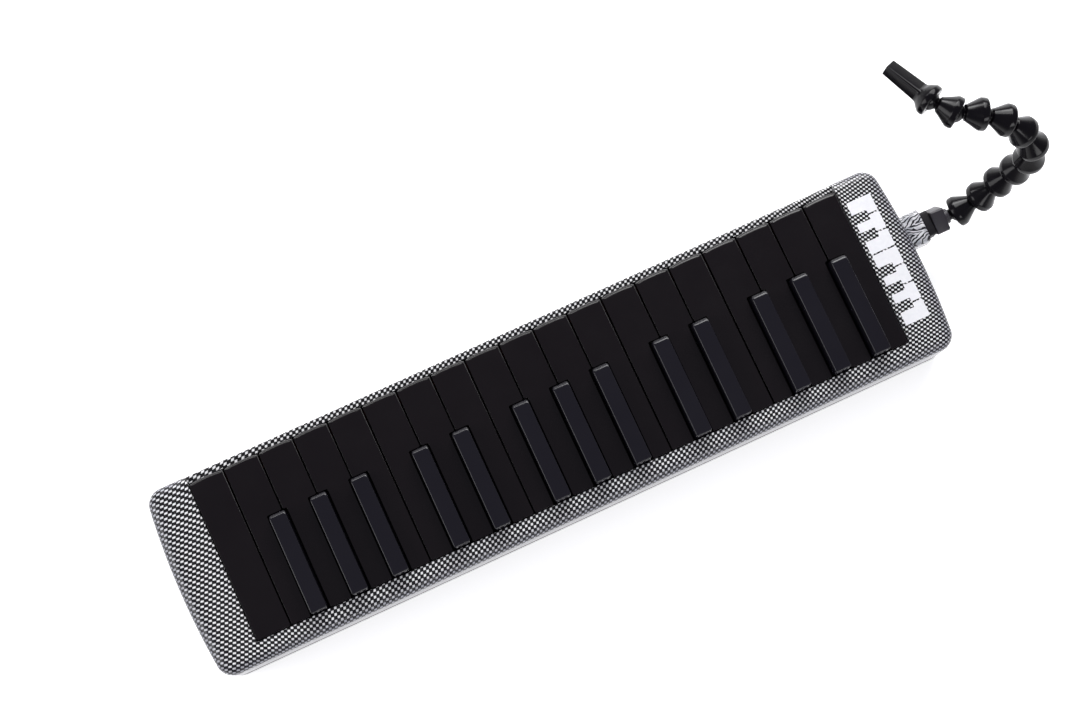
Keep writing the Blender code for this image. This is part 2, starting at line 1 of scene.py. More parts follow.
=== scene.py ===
"""Looks of the melodica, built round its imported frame.

Metres in Blender; the numbers below are millimetres, as in the part's source.
Frame: origin under the middle of the case, +Z up, +X to the treble end, -Y to
the player.
"""

import math

import bpy
import numpy as np
from mathutils import Matrix, Vector


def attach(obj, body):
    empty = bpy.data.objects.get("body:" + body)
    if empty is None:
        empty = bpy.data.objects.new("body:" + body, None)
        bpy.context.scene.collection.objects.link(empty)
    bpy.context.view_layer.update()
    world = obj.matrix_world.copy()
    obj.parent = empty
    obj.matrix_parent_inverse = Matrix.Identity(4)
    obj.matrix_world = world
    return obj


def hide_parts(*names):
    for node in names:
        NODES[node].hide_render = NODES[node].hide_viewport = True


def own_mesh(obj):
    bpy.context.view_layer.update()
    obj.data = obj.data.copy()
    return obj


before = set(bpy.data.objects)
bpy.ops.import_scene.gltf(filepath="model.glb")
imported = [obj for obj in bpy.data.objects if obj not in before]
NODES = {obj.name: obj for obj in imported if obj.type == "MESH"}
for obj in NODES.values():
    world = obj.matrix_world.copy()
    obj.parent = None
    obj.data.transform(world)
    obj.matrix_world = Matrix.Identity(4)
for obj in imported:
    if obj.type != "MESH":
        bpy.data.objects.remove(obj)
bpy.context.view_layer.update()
SCENE = bpy.context.scene
MM = 0.001

# ---- dimensions shared with the part ------------------------------------------
CASE_L, CASE_W, CASE_H = 427.0, 105.4, 45.0
END_BULGE, PLAN_R, TOP_R, WALL = 3.3, 8.0, 5.0, 2.2
SPLIT_Z, FRONT_LIP_Z, GAP = 13.0, 40.0, 0.3
PITCH, N_NAT, KEY_GAP = 19.7, 19, 0.9
OPEN_X = N_NAT * PITCH / 2
STEP_X = OPEN_X + 0.2
FRONT_Y, BACK_Y = -48.1, 41.3
OPEN_FRONT_Y, OPEN_BACK_Y = -48.7, 41.8
KEY_TOP_Z, KEY_PLATE, APRON_Z = 46.0, 3.4, 38.6
ACC_FRONT_Y, ACC_TOP_Z, ACC_W_BASE, ACC_W_TOP, ACC_CLEAR = -14.4, 54.5, 9.5, 8.9, 0.9
ROD_Y, ROD_Z = 30.0, 34.0
HUB_R, HUB_HOLE_R, RIB_HALF, TAIL_Y, PAD_HALF = 3.3, 1.4, 2.0, 47.4, 3.6
DECK_Z1 = 30.0
SPOUT_Y, SPOUT_Z, SPOUT_W, SPOUT_H, SPOUT_X = -13.9, 22.0, 18.7, 16.0, -226.4
PLUG_W, PLUG_H, PLUG_X = 14.0, 11.4, -231.2
BLOCK_X0, BLOCK_X1, BLOCK, BLOCK_TURN = -231.6, -239.3, 13.0, -18.8
HOSE_X, LINK_PITCH = -248.5, 14.3
BALL_R, SOCKET_R, RIM_R, NECK_R, BORE_R, RIM_BACK = 5.6, 6.0, 8.6, 3.0, 2.3, 2.5
LINK_ELEV = (27, 50, 58, 70, 76, 54, 39, 17, 8, 1, -4)
LINK_HEAD = (186, 191, 185, 186, 262, 305, 316, 327, 333, 308, 294)
TIP_REACH, TIP_ROLL = 26.5, 32.0
DRAIN_X, DRAIN_Y = 150.0, 26.0
SCREWS = ((203.0, 40.0), (203.0, -40.0), (-203.0, 40.0), (-203.0, -40.0))
NATURALS = ("F3 G3 A3 B3 C4 D4 E4 F4 G4 A4 B4 C5 D5 E5 F5 G5 A5 B5 C6").split()
ACC_SET = {"F": -3.4, "G": -0.15, "A": 3.2, "C": -1.9, "D": 1.4}
TAIL_SET = {"C": 5.9, "D": 9.85, "E": 13.8, "F": 5.6, "G": 8.4, "A": 11.3, "B": 14.1}


# ---- node material helpers ----------------------------------------------------
class Shader:
    """A small builder for one material's node tree."""

    def __init__(self, name, colour, rough, metal=0.0, **sockets):
        self.mat = bpy.data.materials.new(name)
        self.mat.use_nodes = True
        self.tree = self.mat.node_tree
        self.bsdf = self.tree.nodes["Principled BSDF"]
        self.bsdf.inputs["Base Color"].default_value = (*colour, 1)
        self.bsdf.inputs["Roughness"].default_value = rough
        self.bsdf.inputs["Metallic"].default_value = metal
        for key, value in sockets.items():
            self.bsdf.inputs[key.replace("_", " ")].default_value = value
        self.mat.diffuse_color = (*colour, 1)

    def node(self, kind, **settings):
        made = self.tree.nodes.new(kind)
        for key, value in settings.items():
            setattr(made, key, value)
        return made

    def link(self, a, b):
        self.tree.links.new(a, b)

    def put(self, socket, value):
        if isinstance(value, (int, float)):
            socket.default_value = value
        elif isinstance(value, (tuple, list)):
            socket.default_value = value
        else:
            self.link(value, socket)

    def math(self, op, a, b=0.0, c=None, clamp=False):
        made = self.node("ShaderNodeMath", operation=op, use_clamp=clamp)
        self.put(made.inputs[0], a)
        self.put(made.inputs[1], b)
        if c is not None:
            self.put(made.inputs[2], c)
        return made.outputs[0]

    def coords(self):
        return self.node("ShaderNodeTexCoord").outputs["Object"]

    def mapped(self, scale=(1, 1, 1), rotate=(0, 0, 0), vector=None):
        made = self.node("ShaderNodeMapping")
        self.link(vector or self.coords(), made.inputs["Vector"])
        made.inputs["Scale"].default_value = scale
        made.inputs["Rotation"].default_value = rotate
        return made.outputs[0]

    def noise(self, scale, detail=3.0, rough=0.55, vector=None, distortion=0.0):
        made = self.node("ShaderNodeTexNoise")
        self.link(vector or self.coords(), made.inputs["Vector"])
        made.inputs["Scale"].default_value = scale
        made.inputs["Detail"].default_value = detail
        made.inputs["Roughness"].default_value = rough
        made.inputs["Distortion"].default_value = distortion
        return made.outputs["Fac"]

    def remap(self, value, a, b, c, d, smooth=False):
        made = self.node("ShaderNodeMapRange")
        if smooth:
            made.interpolation_type = "SMOOTHSTEP"
        self.link(value, made.inputs["Value"])
        for name, v in zip(("From Min", "From Max", "To Min", "To Max"), (a, b, c, d)):
            made.inputs[name].default_value = v
        return made.outputs[0]

    def mix(self, factor, a, b):
        made = self.node("ShaderNodeMix", data_type="RGBA")
        self.put(made.inputs[0], factor)
        for socket, colour in ((made.inputs[6], a), (made.inputs[7], b)):
            self.put(socket, (*colour, 1) if isinstance(colour, tuple) and len(colour) == 3 else colour)
        return made.outputs[2]

    def bump(self, height, strength, distance=0.0002, target="Normal", normal=None):
        made = self.node("ShaderNodeBump")
        made.inputs["Strength"].default_value = strength
        made.inputs["Distance"].default_value = distance
        self.link(height, made.inputs["Height"])
        if normal is not None:
            self.link(normal, made.inputs["Normal"])
        self.link(made.outputs[0], self.bsdf.inputs[target])
        return made.outputs[0]

    def set(self, socket, value):
        self.link(value, self.bsdf.inputs[socket])


def check_material():
    """Printed woven check under clear lacquer; the two phases of the check come
    with the mesh, so the film bends round the edges as it was laid."""
    s = Shader("case_check", (0.42, 0.42, 0.44), 0.32, Specular_IOR_Level=0.25, Coat_Weight=0.55, Coat_Roughness=0.08, Coat_IOR=1.45)
    film = s.node("ShaderNodeAttribute", attribute_type="GEOMETRY", attribute_name="film")
    parts = s.node("ShaderNodeSeparateXYZ")
    s.link(film.outputs["Vector"], parts.inputs[0])
    one, two, wall = parts.outputs[0], parts.outputs[1], parts.outputs[2]
    # a square is white where both of its threads run over
    warp = s.math("COSINE", s.math("MULTIPLY", s.math("ADD", one, two), math.pi))
    weft = s.math("COSINE", s.math("MULTIPLY", s.math("SUBTRACT", one, two), math.pi))
    over = s.math("SIGN", s.math("MULTIPLY", warp, weft))
    inner = s.math("MINIMUM", s.math("ABSOLUTE", warp), s.math("ABSOLUTE", weft))
    ragged = s.math("MULTIPLY_ADD", s.noise(2600.0, 2.0), 0.16, -0.08)
    mask = s.remap(s.math("ADD", s.math("MULTIPLY", inner, over), ragged), 0.25, 0.44, 0.0, 1.0, smooth=True)
    # the threads inside one square of the weave
    thread = s.math("SINE", s.math("MULTIPLY", s.math("SUBTRACT", one, two), 2 * math.pi * 5))
    thread2 = s.math("SINE", s.math("MULTIPLY", s.math("ADD", one, two), 2 * math.pi * 5))
    light = s.mix(s.remap(thread, -1, 1, 0.0, 0.22), (0.90, 0.90, 0.90), (0.56, 0.56, 0.58))
    light = s.mix(s.remap(s.noise(60.0, 3.0), 0.35, 0.7, 0.0, 0.12), light, (0.66, 0.66, 0.71))
    dark = s.mix(s.remap(thread2, -1, 1, 0.0, 0.4), (0.0045, 0.004, 0.0045), (0.013, 0.012, 0.013))
    # painted shade: on the walls the film is mixed to a darker blue grey with less contrast; the film does thin out
    # where it runs down the walls, but the blue grey darkening is painted shade for walls turned away from the light
    film_colour = s.mix(mask, dark, light)
    wall_shade_colour = s.mix(mask, (0.012, 0.012, 0.017), (0.34, 0.34, 0.39))
    s.set("Base Color", s.mix(wall, film_colour, wall_shade_colour))
    s.bump(s.noise(260.0, 2.0), 0.05, 0.0003, "Coat Normal")
    return s.mat


def drawn_film_material():
    """The same film where it is drawn out over the spout: long torn streaks."""
    s = Shader("case_check_drawn", (0.5, 0.5, 0.53), 0.3, Specular_IOR_Level=0.3, Coat_Weight=0.6, Coat_Roughness=0.08)
    vec = s.node("ShaderNodeSeparateXYZ")
    s.link(s.coords(), vec.inputs[0])
    along = s.math("MULTIPLY", s.math("ADD", vec.outputs[0], 0.2264), 1000.0)
    bent = s.noise(110.0, 2.0)
    across = s.math("ADD", s.math("MULTIPLY", vec.outputs[1], 1000.0), s.math("MULTIPLY", vec.outputs[2], 900.0))
    across = s.math("ADD", across, s.math("MULTIPLY_ADD", bent, 8.0, -4.0))
    # chevrons: the streaks lean one way and back again
    fold = s.math("PINGPONG", s.math("ADD", across, 41.5), 5.2)
    phase = s.math("ADD", s.math("MULTIPLY", fold, 0.95), s.math("MULTIPLY", along, 0.36))
    streak = s.math("SINE", s.math("MULTIPLY", phase, 2 * math.pi * 0.62))
    fine = s.noise(420.0, 3.0, vector=s.mapped((0.5, 1.0, 1.0)))
    mask = s.remap(s.math("ADD", streak, s.math("MULTIPLY_ADD", fine, 3.6, -1.8)), -0.40, 0.15, 0.0, 1.0, smooth=True)
    light = s.mix(s.remap(s.noise(260.0, 2.0), 0.38, 0.62, 0.0, 0.8), (0.84, 0.84, 0.86), (0.30, 0.31, 0.35))
    s.set("Base Color", s.mix(mask, (0.012, 0.011, 0.016), light))
    s.bump(s.noise(300.0, 2.0), 0.06, 0.0003, "Coat Normal")
    return s.mat


def moulded(name, colour, lift, rough, spread, grain, bump, spec=0.5, coat=0.0, coat_rough=0.1):
    """Moulded plastic: faint colour drift, uneven gloss, fine surface grain."""
    s = Shader(name, colour, rough, Specular_IOR_Level=spec, Coat_Weight=coat, Coat_Roughness=coat_rough)
    drift = s.remap(s.noise(24.0, 3.0), 0.3, 0.7, 0.0, 1.0)
    s.set("Base Color", s.mix(drift, colour, tuple(c + lift for c in colour)))
    uneven = s.noise(70.0, 4.0, 0.6)
    s.set("Roughness", s.remap(uneven, 0.3, 0.7, rough - spread, rough + spread))
    if bump:
        s.bump(s.noise(grain, 3.0), bump, 0.00006)
    return s.mat


def print_material():
    s = Shader("end_print", (0.82, 0.82, 0.84), 0.42, Specular_IOR_Level=0.5, Coat_Weight=0.6, Coat_Roughness=0.12)
    s.set("Base Color", s.mix(s.remap(s.noise(700.0, 3.0), 0.3, 0.7, 0.0, 1.0), (0.92, 0.92, 0.95), (0.97, 0.97, 0.99)))
    s.bump(s.noise(1500.0, 2.0), 0.12, 0.00005)
    return s.mat


def metal_material(name, colour, rough, along=(1, 1, 1), scale=900.0):
    s = Shader(name, colour, rough, 1.0)
    grain = s.noise(scale, 4.0, 0.6, vector=s.mapped(along))
    s.set("Base Color", s.mix(grain, tuple(c * 0.82 for c in colour), colour))
    s.set("Roughness", s.remap(grain, 0.3, 0.7, rough - 0.08, rough + 0.12))
    s.bump(grain, 0.10, 0.00004)
    return s.mat


def felt_material():
    s = Shader("felt", (0.05, 0.010, 0.012), 0.95, Sheen_Weight=0.1)
    fibre = s.noise(2400.0, 5.0, 0.7)
    s.set("Base Color", s.mix(fibre, (0.030, 0.007, 0.009), (0.075, 0.014, 0.015)))
    s.bump(fibre, 0.7, 0.0004)
    return s.mat


CHECK = check_material()
DRAWN = drawn_film_material()
PRINT = print_material()
CASE_BLACK = moulded("case_black", (0.0085, 0.0083, 0.0095), 0.003, 0.42, 0.05, 1600.0, 0.30, 0.3)
KEY_SATIN = moulded("key_satin", (0.0038, 0.0022, 0.0030), 0.0010, 0.19, 0.03, 2200.0, 0.10, 0.40)
KEY_GLOSS = moulded("key_gloss", (0.0060, 0.0052, 0.0088), 0.0015, 0.15, 0.04, 900.0, 0.04, 0.38, 0.16, 0.06)
HOSE = moulded("hose_black", (0.0028, 0.0022, 0.0034), 0.0010, 0.17, 0.04, 800.0, 0.08, 0.21, 0.08, 0.08)
PLUG = moulded("plug_black", (0.0075, 0.0062, 0.0085), 0.002, 0.46, 0.06, 1500.0, 0.3, 0.25)
BLOCK_MAT = moulded("block_black", (0.026, 0.023, 0.029), 0.006, 0.36, 0.05, 1500.0, 0.22, 0.5)
COLLAR = moulded("collar_grey", (0.060, 0.056, 0.066), 0.015, 0.34, 0.06, 1500.0, 0.2, 0.4)
RUBBER = moulded("rubber", (0.022, 0.021, 0.021), 0.006, 0.78, 0.06, 1300.0, 0.4)
STEEL = metal_material("steel", (0.58, 0.58, 0.60), 0.32, (0.05, 1, 1))
# steel darkened to near black as painted shade: the key rod and spring comb show only down the gaps between the keys
SHADE_DARK_STEEL = metal_material("shade_dark_steel", (0.045, 0.045, 0.050), 0.46, (0.05, 1, 1))
BRASS = metal_material("brass", (0.76, 0.56, 0.26), 0.30, (1, 0.04, 1))
FELT = felt_material()


# ---- mesh helpers --------------------------------------------------------------
def make(name, points, faces, mat, body, slot=None, nodes=(), angle=32, film=None, mats=None, face_mats=None):
    """A piece from points in mm, riding on a body."""
    mesh = bpy.data.meshes.new(name)
    mesh.from_pydata([tuple(c * MM for c in p) for p in points], [], faces)
    for m in mats or [mat]:
        mesh.materials.append(m)
    if face_mats is not None:
        mesh.polygons.foreach_set("material_index", face_mats)
    mesh.update()
    if film is not None:
        made = mesh.attributes.new("film", "FLOAT_VECTOR", "POINT")
        made.data.foreach_set("vector", np.asarray(film, np.float32).ravel())
    obj = bpy.data.objects.new(name, mesh)
    SCENE.collection.objects.link(obj)
    if angle is not None:
        mesh.shade_smooth()
        mesh.set_sharp_from_angle(angle=math.radians(angle))
    if body:
        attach(obj, body)
        if nodes:
            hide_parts(*nodes)
    return obj


def bake_modifiers(obj):
    bpy.context.view_layer.update()
    graph = bpy.context.evaluated_depsgraph_get()
    mesh = bpy.data.meshes.new_from_object(obj.evaluated_get(graph))
    obj.modifiers.clear()
    old = obj.data
    obj.data = mesh
    bpy.data.meshes.remove(old)


def boolean(obj, other, operation):
    mod = obj.modifiers.new("b", "BOOLEAN")
    mod.operation, mod.solver, mod.object = operation, "EXACT", other
    bake_modifiers(obj)
    bpy.data.objects.remove(other)


class Body:
    """Collects closed shells into one piece."""

    def __init__(self):
        self.points, self.faces, self.mats = [], [], []

    def add(self, points, faces, mat=0):
        base = len(self.points)
        self.points += [tuple(p) for p in points]
        self.faces += [tuple(base + i for i in f) for f in faces]
        self.mats += [mat] * len(faces)

    def loft(self, rings, close=False, cap0=True, cap1=True, mat=0):
        n, count = len(rings[0]), len(rings)
        faces = []
        for a in range(count if close else count - 1):
            b = (a + 1) % count
            faces += [(a * n + i, a * n + (i + 1) % n, b * n + (i + 1) % n, b * n + i) for i in range(n)]
        if not close:
            if cap0:
                faces.append(tuple(range(n))[::-1])
            if cap1:
                faces.append(tuple(range((count - 1) * n, count * n)))
        self.add([p for ring in rings for p in ring], faces, mat)

    def prism_x(self, outline, x0, x1, edge=0.25):
        """An outline in (y, z), counter-clockwise seen from +X, with eased edges."""
        pts = np.array(outline, float)
        inner = inset_polygon(pts, edge)
        rings = [[(x0, *p) for p in inner], [(x0 + edge, *p) for p in pts], [(x1 - edge, *p) for p in pts], [(x1, *p) for p in inner]]
        self.loft(rings)

    def piece(self, name, mat, body, **more):
        return make(name, self.points, self.faces, mat, body, face_mats=self.mats if more.get("mats") else None, **more)


def inset_polygon(pts, d):
    """A polygon's corners moved inwards by d along their mitres."""
    nxt, prv = np.roll(pts, -1, 0), np.roll(pts, 1, 0)
    e1, e0 = nxt - pts, pts - prv
    e1 /= np.linalg.norm(e1, axis=1)[:, None]
    e0 /= np.linalg.norm(e0, axis=1)[:, None]
    n1, n0 = np.stack([-e1[:, 1], e1[:, 0]], 1), np.stack([-e0[:, 1], e0[:, 0]], 1)
    m = n1 + n0
    m *= (1 / np.maximum(0.35, (m * n1).sum(1)))[:, None]
    return pts + m * d


def filleted(corners, steps=5):
    """Points and outward normals of a counter-clockwise outline whose corners
    (x, y, radius) are rounded. Works for inside corners too."""
    points, normals = [], []
    n = len(corners)
    for i, (x, y, r) in enumerate(corners):
        p = Vector((x, y))
        a = (Vector(corners[i - 1][:2]) - p).normalized()
        b = (Vector(corners[(i + 1) % n][:2]) - p).normalized()
        turn = -(a.x * b.y - a.y * b.x)  # above 0 at an outside corner
        half = math.acos(max(-1, min(1, a.dot(b)))) / 2
        reach = r / math.tan(half)
        start, end = p + a * reach, p + b * reach
        centre = p + (a + b).normalized() * (r / math.sin(half))
        sign = 1 if turn > 0 else -1
        v0, v1 = start - centre, end - centre
        ang0, sweep = math.atan2(v0.y, v0.x), math.atan2(v0.x * v1.y - v0.y * v1.x, v0.dot(v1))
        k_n = max(1, min(steps, round(abs(math.degrees(sweep)) / 12))) if steps > 1 else 1
        for k in range(k_n + 1):
            t = ang0 + sweep * k / k_n
            radial = Vector((math.cos(t), math.sin(t)))
            points.append(tuple(centre + radial * r))
            normals.append(tuple(radial * sign))
    return np.array(points), np.array(normals)


def rounded_rect(w, h, r, steps=6):
    pts = []
    for sy, sz, start in ((1, 1, 0), (-1, 1, 90), (-1, -1, 180), (1, -1, 270)):
        for k in range(steps + 1):
            a = math.radians(start + 90 * k / steps)
            pts.append((sy * (w / 2 - r) + r * math.cos(a), sz * (h / 2 - r) + r * math.sin(a)))
    return pts


def box_x(x0, x1, y, z, w, h, r, edge, turn=0.0, steps=6, end0=True, end1=True):
    """Rings of a rounded bar along X whose ends are eased."""
    c, s = math.cos(math.radians(turn)), math.sin(math.radians(turn))
    rings = []
    stages = []
    for k in range(4):
        a = math.radians(30 * k)
        stages.append((edge * (1 - math.sin(a)), edge * (1 - math.cos(a))))
    run = [(x0 + t if end0 else x0 + t, i) for i, t in stages] + [(x1 - t, i) for i, t in reversed(stages)]
    for x, inset in run:
        ring = rounded_rect(w - 2 * inset, h - 2 * inset, max(r - inset, 0.2), steps)
        rings.append([(x, y + c * a - s * b, z + s * a + c * b) for a, b in ring])
    return rings


# ---- the printed film's lattice -------------------------------------------------
GX = np.array([-230, -200, -184, -157, -105, -52, 0, 52, 105, 154, 171, 198, 230.0])
F1X = np.array([80, 82, 79, 77, 66, 65, 63, 64, 59.5, 56.5, 54, 47, 42]) * -5.72e-3
F1Y = np.array([-50, -49, -44, -33, -34.5, -34.5, -35, -32, -32, -31, -37, -47, -50]) * 5.72e-3
F2X = np.array([28, 24, 22.5, 29, 45, 49, 44.5, 46, 47.5, 40, 36, 27, 30]) * -5.72e-3
F2Y = np.array([91, 91, 87, 80, 77, 73.5, 74, 72.5, 71, 69.5, 73, 81, 84]) * 5.72e-3


def smooth_table(values):
    x = np.linspace(-260, 260, 2081)
    y = np.interp(x, GX, values)
    kernel = np.hanning(161)
    kernel /= kernel.sum()
    padded = np.concatenate([np.full(80, y[0]), y, np.full(80, y[-1])])
    return x, np.convolve(padded, kernel, "valid")


def film_phase(u, v):
    """The check's two phases at a place on the film, in cycles."""
    u, v = np.asarray(u, float), np.asarray(v, float)
    out = []
    for fx, fy, seed in ((F1X, F1Y, 0.0), (F2X, F2Y, 1.7)):
        x, gx = smooth_table(fx)
        _, gy = smooth_table(fy)
        run = np.concatenate([[0], np.cumsum((gx[1:] + gx[:-1]) / 2 * np.diff(x))])
        phase = np.interp(u, x, run) + np.interp(u, x, gy) * v
        phase += 0.20 * np.sin(u * 0.045 + v * 0.031 + seed) + 0.13 * np.sin(u * 0.021 - v * 0.062 + 2 * seed)
        out.append(phase)
    return np.stack([out[0], out[1], np.zeros_like(out[0])], -1)


# ---- upper shell of the case ------------------------------------------------------
CORNER_STEPS = 10
LONG = [195.0] + list(np.linspace(STEP_X, -STEP_X, 95)) + [-195.0]


def plan(inset):
    half_l, half_w = CASE_L / 2 - END_BULGE, CASE_W / 2
    r = PLAN_R - inset
    cx, cy = half_l - PLAN_R, half_w - PLAN_R
    out = []

    def corner(sx, sy, start):
        for k in range(CORNER_STEPS + 1):
            a = math.radians(start + 90 * k / CORNER_STEPS)
            x, y = sx * cx + r * math.cos(a), sy * cy + r * math.sin(a)
            out.append((x + sx * END_BULGE * (1 - (y / half_w) ** 2), y))

    def end(sx, ts):
        for t in ts:
            y = cy * t
            out.append((sx * (half_l - inset + END_BULGE * (1 - (y / half_w) ** 2)), y))

    inner = np.linspace(1, -1, 19)[1:-1]
    corner(1, 1, 0)
    out.extend((x, half_w - inset) for x in LONG)
    corner(-1, 1, 90)
    end(-1, inner)
    corner(-1, -1, 180)
    out.extend((x, inset - half_w) for x in LONG[::-1])
    corner(1, -1, 270)
    end(1, -inner)
    return np.array(out)


def upper_shell():
    outer, top = plan(0.0), plan(TOP_R)
    away = (outer - top) / TOP_R
    n = len(outer)
    f0 = next(i for i in range(n) if outer[i][1] < 0 and abs(outer[i][0] + STEP_X) < 1e-6)
    f1 = next(i for i in range(n) if outer[i][1] < 0 and abs(outer[i][0] - STEP_X) < 1e-6)
    points, film, faces, wall_shade = [], [], [], []

    def vertex(x, y, z, u, v):
        points.append((x, y, z))
        film.append((u, v))
        # wall_shade runs from 0 on the flat top to 1 down the walls and the front rim; it sets how much painted shade
        # the check gets there
        if y < 0 and abs(x) < STEP_X + 1:
            wall_shade.append(min(1.0, max(0.0, (39.7 - z) / 2.5)) if y < FRONT_Y - 2 else 0.0)
        else:
            inside = min((CASE_L / 2 - END_BULGE * (y / (CASE_W / 2)) ** 2 - abs(x)) * 0.80, CASE_W / 2 - abs(y))
            wall_shade.append(min(1.0, max(0.0, (5.6 - inside) / 4.6)) if inside < 12 else 0.0)
        return len(points) - 1

    quarter = TOP_R * math.pi / 2

    def ring(columns, inset, z, run):
        """run is the distance along the film from the flat top."""
        at = plan(inset)
        out = []
        for i in columns:
            u, v = (top[i] + away[i] * run) if run > 0 else at[i]
            out.append(vertex(at[i][0], at[i][1], z, u, v))
        return out

    def skin(a, b, cyclic=False):
        for i in range(len(a) if cyclic else len(a) - 1):
            j = (i + 1) % len(a)
            quad = [a[i], a[j], b[j], b[i]]
            quad = [q for k, q in enumerate(quad) if q != quad[k - 1]]
            faces.append(tuple(quad))

    everywhere = range(n)
    base = []
    for inset, z in ((0.95, 13.0), (0.60, 13.25), (0.50, 13.7), (0.45, 16), (0.32, 22), (0.19, 28), (0.08, 34), (0.02, 38.5)):
        base.append(ring(everywhere, inset, z, quarter + FRONT_LIP_Z - z))
    for a, b in zip(base, base[1:]):
        skin(a, b, True)

    block = [(f1 + k) % n for k in range(n - (f1 - f0) + 1)]
    lip = list(range(f0, f1 + 1))
    m_block, m_lip = [base[-1][i] for i in block], [base[-1][i] for i in lip]

    # blocks and back strip: rounding, flat top, opening edge
    rows = [m_block, ring(block, 0.0, 40.0, quarter)]
    for deg in range(10, 91, 10):
        a = math.radians(deg)
        rows.append(ring(block, TOP_R * (1 - math.cos(a)), 40.0 + TOP_R * math.sin(a), TOP_R * (math.pi / 2 - a)))
    rows.append(ring(block, TOP_R + 0.5, CASE_H, 0.0))
    start = plan(TOP_R + 0.5)[block]
    # where each column meets the opening, and the direction away from the opening
    edge = np.zeros((len(block), 2))
    out_dir = np.zeros((len(block), 2))
    back_hi = next(k for k, i in enumerate(block) if outer[i][1] > 0 and abs(outer[i][0] - STEP_X) < 1e-6)
    back_lo = next(k for k, i in enumerate(block) if outer[i][1] > 0 and abs(outer[i][0] + STEP_X) < 1e-6)
    for lo, hi, sx in ((0, back_hi, 1), (back_lo, len(block) - 1, -1)):
        seg = start[lo:hi + 1]
        run = np.concatenate([[0], np.cumsum(np.linalg.norm(np.diff(seg, axis=0), axis=1))])
        run /= run[-1]
        ys = (start[0][1] + run * (OPEN_BACK_Y - start[0][1])) if sx > 0 else (OPEN_BACK_Y + run * (start[-1][1] - OPEN_BACK_Y))
        edge[lo:hi + 1] = np.stack([np.full(len(seg), sx * STEP_X), ys], 1)
        out_dir[lo:hi + 1] = (sx, 0)
    for k in range(back_hi, back_lo + 1):
        edge[k] = (start[k][0], OPEN_BACK_Y)
        out_dir[k] = (0, 1)
    out_dir[back_hi], out_dir[back_lo] = (1, 1), (-1, 1)
    out_dir[0] = out_dir[-1] = (0, 0)
    rim = edge + out_dir * 0.25
    for t in np.linspace(0, 1, 8)[1:]:
        at = start * (1 - t) + rim * t
        rows.append([vertex(x, y, CASE_H, x, y) for x, y in at])
    for off, z in ((0.07, 44.93), (0.0, 44.75), (0.0, 41.0)):
        at = edge + out_dir * off
        uv = edge - out_dir * (CASE_H - z)
        rows.append([vertex(x, y, z, u, v) for (x, y), (u, v) in zip(at, uv)])
    for a, b in zip(rows, rows[1:]):
        skin(a, b)

    # lowered front rim
    lip_rows = [m_lip]
    for inset, z, run in ((0.0, 39.0, 1.0), (0.134, 39.5, 0.48), (0.5, 39.866, -0.05), (1.0, 40.0, -0.57), (1.4, 40.0, -0.97), (2.6, 40.0, -2.2), (3.72, 40.0, -3.3), (3.92, 39.93, -3.5), (4.0, 39.72, -3.7), (4.0, 37.6, -5.8)):
        at = plan(inset)
        lip_rows.append([vertex(at[i][0], at[i][1], z, at[i][0], outer[i][1] - (quarter + run - TOP_R)) for i in lip])
    for a, b in zip(lip_rows, lip_rows[1:]):
        skin(a, b)
    # the steps at both ends of the front rim
    faces.append(tuple([r[0] for r in rows] + [r[-1] for r in reversed(lip_rows[1:])]))
    faces.append(tuple([r[-1] for r in reversed(rows)] + [r[0] for r in lip_rows[1:]]))

    uv = np.array(film)
    phases = film_phase(uv[:, 0], uv[:, 1])
    # the film's third part carries the painted wall shade, not a phase of the check
    phases[:, 2] = wall_shade
    shell = make("top_shell", points, faces, CHECK, None, film=phases, angle=38)
    thick = shell.modifiers.new("wall", "SOLIDIFY")
    thick.thickness, thick.offset, thick.use_even_offset = 1.6 * MM, -1.0, False
    bake_modifiers(shell)
    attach(shell, "case")
    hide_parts("top_cover")
    return shell


def upper_shell_details():
    """Screw posts inside the shell and the blowing spout on its end."""
    posts = Body()
    for x, y in SCREWS:
        ring = lambda r, z: [(x + r * math.cos(2 * math.pi * k / 24), y + r * math.sin(2 * math.pi * k / 24), z) for k in range(24)]
        posts.loft([ring(1.8, SPLIT_Z + 12), ring(1.8, SPLIT_Z + 0.3), ring(3.6, SPLIT_Z + 0.3), ring(3.6, CASE_H - WALL + 0.7), ring(1.8, CASE_H - WALL + 0.7)], close=True)
    posts.piece("top_shell_posts", CASE_BLACK, "case", slot="case_black")
    spout = Body()
    bore_w, bore_h = PLUG_W + 2 * GAP, PLUG_H + 2 * GAP

    def ring(x, w, h, r):
        return [(x, SPOUT_Y + a, SPOUT_Z + b) for a, b in rounded_rect(w, h, r, 7)]

    rings = [ring(-210.6, bore_w, bore_h, 1.6), ring(-210.6, SPOUT_W + 1.2, SPOUT_H + 1.2, 3.8), ring(-213.0, SPOUT_W + 0.9, SPOUT_H + 0.9, 3.6)]
    for x, grow in ((-214.2, 0.30), (-215.0, 0.08), (-216.5, 0.0), (-219.5, 0.0), (-222.5, 0.0), (-225.6, 0.0), (-226.05, -0.12), (-226.33, -0.42), (SPOUT_X, -0.85)):
        rings.append(ring(x, SPOUT_W + grow, SPOUT_H + grow, 3.2 + grow / 2))
    rings += [ring(SPOUT_X, bore_w + 0.5, bore_h + 0.5, 1.8), ring(SPOUT_X + 0.3, bore_w, bore_h, 1.6)]
    spout.loft([r[::-1] for r in rings], close=True)
    spout.piece("spout", DRAWN, "case", slot="case_check", angle=40)


